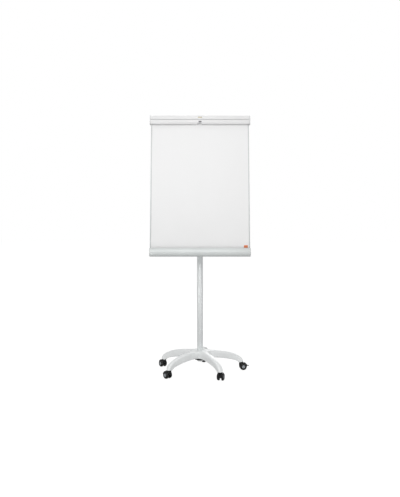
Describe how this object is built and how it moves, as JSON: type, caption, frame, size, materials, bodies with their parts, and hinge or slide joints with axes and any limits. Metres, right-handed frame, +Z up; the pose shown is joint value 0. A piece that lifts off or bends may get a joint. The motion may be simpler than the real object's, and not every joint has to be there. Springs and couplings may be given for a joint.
{
  "type": "mobile flipchart easel",
  "caption": "Leaning whiteboard easel with a pad clamp and a pen tray, on a telescopic column over an arched star base with braked twin-wheel castors.",
  "frame": {"origin": "on the floor, under the middle of the star base, 14.5 mm in front of the column's axis", "axes": "+Z up the column, -Y out of the board's writing face, +X to the right of someone who faces the board"},
  "size_m": [0.717, 0.6098, 1.8315],
  "materials": {
    "star_metal": "satin",
    "column_paint": "satin",
    "steel": "satin",
    "black_plastic": "matte",
    "slate_plastic": "matte",
    "white_enamel": "gloss",
    "back_sheet": "satin",
    "honeycomb": "matte",
    "silver_aluminium": "satin",
    "rail_aluminium": "satin",
    "cap_plastic": "satin",
    "bronze_plate": "satin",
    "orange_label": "matte"
  },
  "bodies": {
    "base": {"star_base": "star_metal", "column_tube": "column_paint", "column_plug": "slate_plastic", "base_bolt": "star_metal", "guide_bush": "black_plastic", "clamp_collar": "black_plastic", "castor_stem_front_right": "steel", "castor_stem_back_right": "steel", "castor_stem_back": "steel", "castor_stem_back_left": "steel", "castor_stem_front_left": "steel"},
    "height_knob": {"height_knob": "black_plastic"},
    "mast": {"inner_tube": "steel", "head_socket": "black_plastic"},
    "board": {"board_bracket": "steel", "tilt_bolt": "steel", "board_back": "back_sheet", "board_core": "honeycomb", "board_face": "white_enamel", "top_rail": "rail_aluminium", "pen_tray": "silver_aluminium", "frame_left": "silver_aluminium", "rail_end_left": "cap_plastic", "tray_end_left": "cap_plastic", "clamp_pin_left": "steel", "clamp_spring_left": "steel", "frame_right": "silver_aluminium", "rail_end_right": "cap_plastic", "tray_end_right": "cap_plastic", "clamp_pin_right": "steel", "clamp_spring_right": "steel", "badge": "bronze_plate", "corner_label": "orange_label"},
    "tilt_knob": {"tilt_knob": "black_plastic"},
    "clamp": {"clamp_flap": "rail_aluminium", "lift_tab": "slate_plastic"},
    "hook_left": {"pad_hook_left": "black_plastic"},
    "hook_right": {"pad_hook_right": "black_plastic"},
    "castor_front_right": {"castor_hood_front_right": "slate_plastic", "castor_axle_front_right": "steel"},
    "wheel_left_front_right": {"castor_wheel_left_front_right": "black_plastic"},
    "wheel_right_front_right": {"castor_wheel_right_front_right": "black_plastic"},
    "castor_back_right": {"castor_hood_back_right": "slate_plastic", "castor_axle_back_right": "steel"},
    "wheel_left_back_right": {"castor_wheel_left_back_right": "black_plastic"},
    "wheel_right_back_right": {"castor_wheel_right_back_right": "black_plastic"},
    "pedal_back_right": {"brake_pedal_back_right": "black_plastic"},
    "castor_back": {"castor_hood_back": "slate_plastic", "castor_axle_back": "steel"},
    "wheel_left_back": {"castor_wheel_left_back": "black_plastic"},
    "wheel_right_back": {"castor_wheel_right_back": "black_plastic"},
    "castor_back_left": {"castor_hood_back_left": "slate_plastic", "castor_axle_back_left": "steel"},
    "wheel_left_back_left": {"castor_wheel_left_back_left": "black_plastic"},
    "wheel_right_back_left": {"castor_wheel_right_back_left": "black_plastic"},
    "castor_front_left": {"castor_hood_front_left": "slate_plastic", "castor_axle_front_left": "steel"},
    "wheel_left_front_left": {"castor_wheel_left_front_left": "black_plastic"},
    "wheel_right_front_left": {"castor_wheel_right_front_left": "black_plastic"},
    "pedal_front_left": {"brake_pedal_front_left": "black_plastic"}
  },
  "joints": [
    {"name": "height_slide", "type": "slide", "parent": "base", "child": "mast", "axis": [0, 0, 1], "range_m": [-0.2, 0.12]},
    {"name": "height_knob_turn", "type": "hinge", "parent": "base", "child": "height_knob", "pos_m": [0.0108, 0.0408, 1.0185], "axis": [1, 0, 0], "range_deg": [-360, 0]},
    {"name": "board_tilt", "type": "hinge", "parent": "mast", "child": "board", "pos_m": [0, -0.0545, 1.3445], "axis": [-1, 0, 0], "range_deg": [-7.4, 22.6]},
    {"name": "tilt_knob_turn", "type": "hinge", "parent": "board", "child": "tilt_knob", "pos_m": [0.0166, -0.0545, 1.3445], "axis": [1, 0, 0], "range_deg": [-360, 0]},
    {"name": "clamp_open", "type": "hinge", "parent": "board", "child": "clamp", "pos_m": [0, -0.05019, 1.79772], "axis": [-1, 0, 0], "range_deg": [0, 75], "stiffness_Nm_per_rad": 0.8, "springref_deg": -14.32},
    {"name": "hook_left_slide", "type": "slide", "parent": "board", "child": "hook_left", "axis": [1, 0, 0], "range_m": [-0.08, 0.08]},
    {"name": "hook_right_slide", "type": "slide", "parent": "board", "child": "hook_right", "axis": [1, 0, 0], "range_m": [-0.08, 0.08]},
    {"name": "castor_swivel_front_right", "type": "hinge", "parent": "base", "child": "castor_front_right", "pos_m": [0.1362, -0.2818, 0.0555], "axis": [0, 0, 1], "continuous": true},
    {"name": "wheel_roll_left_front_right", "type": "hinge", "parent": "castor_front_right", "child": "wheel_left_front_right", "pos_m": [0.14061, -0.26642, 0.025], "axis": [-0.9613, 0.2756, 0], "continuous": true},
    {"name": "wheel_roll_right_front_right", "type": "hinge", "parent": "castor_front_right", "child": "wheel_right_front_right", "pos_m": [0.14061, -0.26642, 0.025], "axis": [-0.9613, 0.2756, 0], "continuous": true},
    {"name": "castor_swivel_back_right", "type": "hinge", "parent": "base", "child": "castor_back_right", "pos_m": [0.29631, 0.03243, 0.0555], "axis": [0, 0, 1], "continuous": true},
    {"name": "wheel_roll_left_back_right", "type": "hinge", "parent": "castor_back_right", "child": "wheel_left_back_right", "pos_m": [0.31211, 0.03493, 0.025], "axis": [-0.1564, 0.9877, 0], "continuous": true},
    {"name": "wheel_roll_right_back_right", "type": "hinge", "parent": "castor_back_right", "child": "wheel_right_back_right", "pos_m": [0.31211, 0.03493, 0.025], "axis": [-0.1564, 0.9877, 0], "continuous": true},
    {"name": "brake_pedal_back_right_press", "type": "hinge", "parent": "castor_back_right", "child": "pedal_back_right", "pos_m": [0.31211, 0.03493, 0.025], "axis": [-0.1564, 0.9877, 0], "range_deg": [0, 10]},
    {"name": "castor_swivel_back", "type": "hinge", "parent": "base", "child": "castor_back", "pos_m": [0.04693, 0.2818, 0.0555], "axis": [0, 0, 1], "continuous": true},
    {"name": "wheel_roll_left_back", "type": "hinge", "parent": "castor_back", "child": "wheel_left_back", "pos_m": [0.03113, 0.28431, 0.025], "axis": [-0.1564, -0.9877, 0], "continuous": true},
    {"name": "wheel_roll_right_back", "type": "hinge", "parent": "castor_back", "child": "wheel_right_back", "pos_m": [0.03113, 0.28431, 0.025], "axis": [-0.1564, -0.9877, 0], "continuous": true},
    {"name": "castor_swivel_back_left", "type": "hinge", "parent": "base", "child": "castor_back_left", "pos_m": [-0.2673, 0.12169, 0.0555], "axis": [0, 0, 1], "continuous": true},
    {"name": "wheel_roll_left_back_left", "type": "hinge", "parent": "castor_back_left", "child": "wheel_left_back_left", "pos_m": [-0.27602, 0.13511, 0.025], "axis": [-0.8387, -0.5446, 0], "continuous": true},
    {"name": "wheel_roll_right_back_left", "type": "hinge", "parent": "castor_back_left", "child": "wheel_right_back_left", "pos_m": [-0.27602, 0.13511, 0.025], "axis": [-0.8387, -0.5446, 0], "continuous": true},
    {"name": "castor_swivel_front_left", "type": "hinge", "parent": "base", "child": "castor_front_left", "pos_m": [-0.21213, -0.22663, 0.0555], "axis": [0, 0, 1], "continuous": true},
    {"name": "wheel_roll_left_front_left", "type": "hinge", "parent": "castor_front_left", "child": "wheel_left_front_left", "pos_m": [-0.22263, -0.21456, 0.025], "axis": [-0.7547, -0.6561, 0], "continuous": true},
    {"name": "wheel_roll_right_front_left", "type": "hinge", "parent": "castor_front_left", "child": "wheel_right_front_left", "pos_m": [-0.22263, -0.21456, 0.025], "axis": [-0.7547, -0.6561, 0], "continuous": true},
    {"name": "brake_pedal_front_left_press", "type": "hinge", "parent": "castor_front_left", "child": "pedal_front_left", "pos_m": [-0.22263, -0.21456, 0.025], "axis": [-0.7547, -0.6561, 0], "range_deg": [0, 10]}
  ]
}
